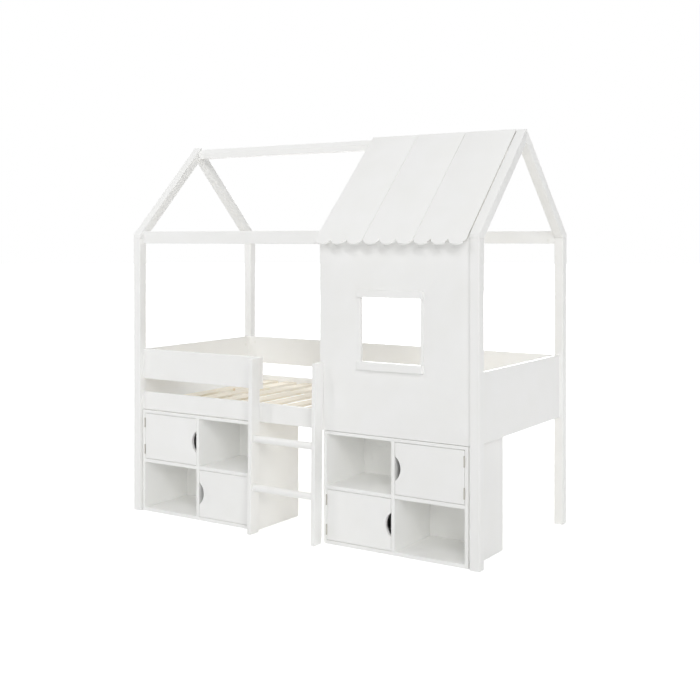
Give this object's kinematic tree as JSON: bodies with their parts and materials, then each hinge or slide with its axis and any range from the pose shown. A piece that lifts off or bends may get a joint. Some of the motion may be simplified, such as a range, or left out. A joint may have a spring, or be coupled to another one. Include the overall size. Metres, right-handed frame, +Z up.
{
  "type": "cabin bed",
  "caption": "House-framed single cabin bed with slats, guard rails, window panel, scalloped half roof, ladder and cubby units with hinged doors.",
  "frame": {"origin": "on the floor, under the middle of the whole outline, ladder foot included", "axes": "+X along the bed from the ladder side's left post to its right post, +Y from the open front to the rear, +Z up"},
  "size_m": [2.08, 1.074, 1.9989],
  "materials": {
    "white_paint": "satin white paint on wood",
    "back_panel": "smooth white painted fibreboard",
    "pine": "planed unpainted pine",
    "dowel_wood": "fluted beech dowel",
    "hinge_steel": "satin plated steel",
    "cam_steel": "zinc plated",
    "screw_steel": "zinc plated",
    "catch_plastic": "white moulded plastic"
  },
  "bodies": {
    "bed_frame": {"post_front_left": "white_paint", "post_front_right": "white_paint", "post_rear_left": "white_paint", "post_rear_right": "white_paint", "rafter_front_left": "white_paint", "rafter_front_right": "white_paint", "rafter_rear_left": "white_paint", "rafter_rear_right": "white_paint", "ridge_beam": "white_paint", "eaves_rail_front": "white_paint", "eaves_rail_rear": "white_paint", "end_panel_left": "white_paint", "end_panel_right": "white_paint", "guard_board_front": "white_paint", "guard_board_rear": "white_paint", "side_rail_front": "white_paint", "side_rail_rear": "white_paint", "slat_ledgers": "pine", "slats": "pine", "front_panel": "white_paint", "window_lintel": "white_paint", "window_sill": "white_paint", "window_jambs": "white_paint", "roof_board_left": "white_paint", "roof_board_middle": "white_paint", "roof_board_right": "white_paint", "ladder_stile_left": "white_paint", "ladder_stile_right": "white_paint", "ladder_rung_lower": "white_paint", "ladder_rung_upper": "white_paint", "ladder_spacer": "white_paint", "left_unit_left_side": "white_paint", "left_unit_right_side": "white_paint", "left_unit_bottom": "white_paint", "left_unit_top": "white_paint", "left_unit_divider": "white_paint", "left_unit_shelves": "white_paint", "left_unit_back": "back_panel", "right_unit_left_side": "white_paint", "right_unit_right_side": "white_paint", "right_unit_bottom": "white_paint", "right_unit_top": "white_paint", "right_unit_divider": "white_paint", "right_unit_shelves": "white_paint", "right_unit_back": "back_panel", "hinge_frame_leaves": "hinge_steel", "hinge_pins": "hinge_steel", "magnetic_catches": "catch_plastic", "cam_locks": "cam_steel", "cam_bolts": "cam_steel", "wooden_dowels": "dowel_wood", "wood_screws": "screw_steel"},
    "left_unit_upper_door_leaf": {"left_unit_upper_door": "white_paint", "left_unit_upper_door_fittings": "hinge_steel"},
    "left_unit_lower_door_leaf": {"left_unit_lower_door": "white_paint", "left_unit_lower_door_fittings": "hinge_steel"},
    "right_unit_upper_door_leaf": {"right_unit_upper_door": "white_paint", "right_unit_upper_door_fittings": "hinge_steel"},
    "right_unit_lower_door_leaf": {"right_unit_lower_door": "white_paint", "right_unit_lower_door_fittings": "hinge_steel"}
  },
  "joints": [
    {"name": "left_unit_upper_door_hinge", "type": "hinge", "parent": "bed_frame", "child": "left_unit_upper_door_leaf", "pos_m": [-0.9698, -0.4599, 0.4065], "axis": [0, 0, -1], "range_deg": [0, 150]},
    {"name": "left_unit_lower_door_hinge", "type": "hinge", "parent": "bed_frame", "child": "left_unit_lower_door_leaf", "pos_m": [-0.2282, -0.4599, 0.1415], "axis": [0, 0, 1], "range_deg": [0, 100]},
    {"name": "right_unit_upper_door_hinge", "type": "hinge", "parent": "bed_frame", "child": "right_unit_upper_door_leaf", "pos_m": [0.9588, -0.4599, 0.4065], "axis": [0, 0, 1], "range_deg": [0, 150]},
    {"name": "right_unit_lower_door_hinge", "type": "hinge", "parent": "bed_frame", "child": "right_unit_lower_door_leaf", "pos_m": [0.2172, -0.4599, 0.1415], "axis": [0, 0, -1], "range_deg": [0, 100]}
  ]
}
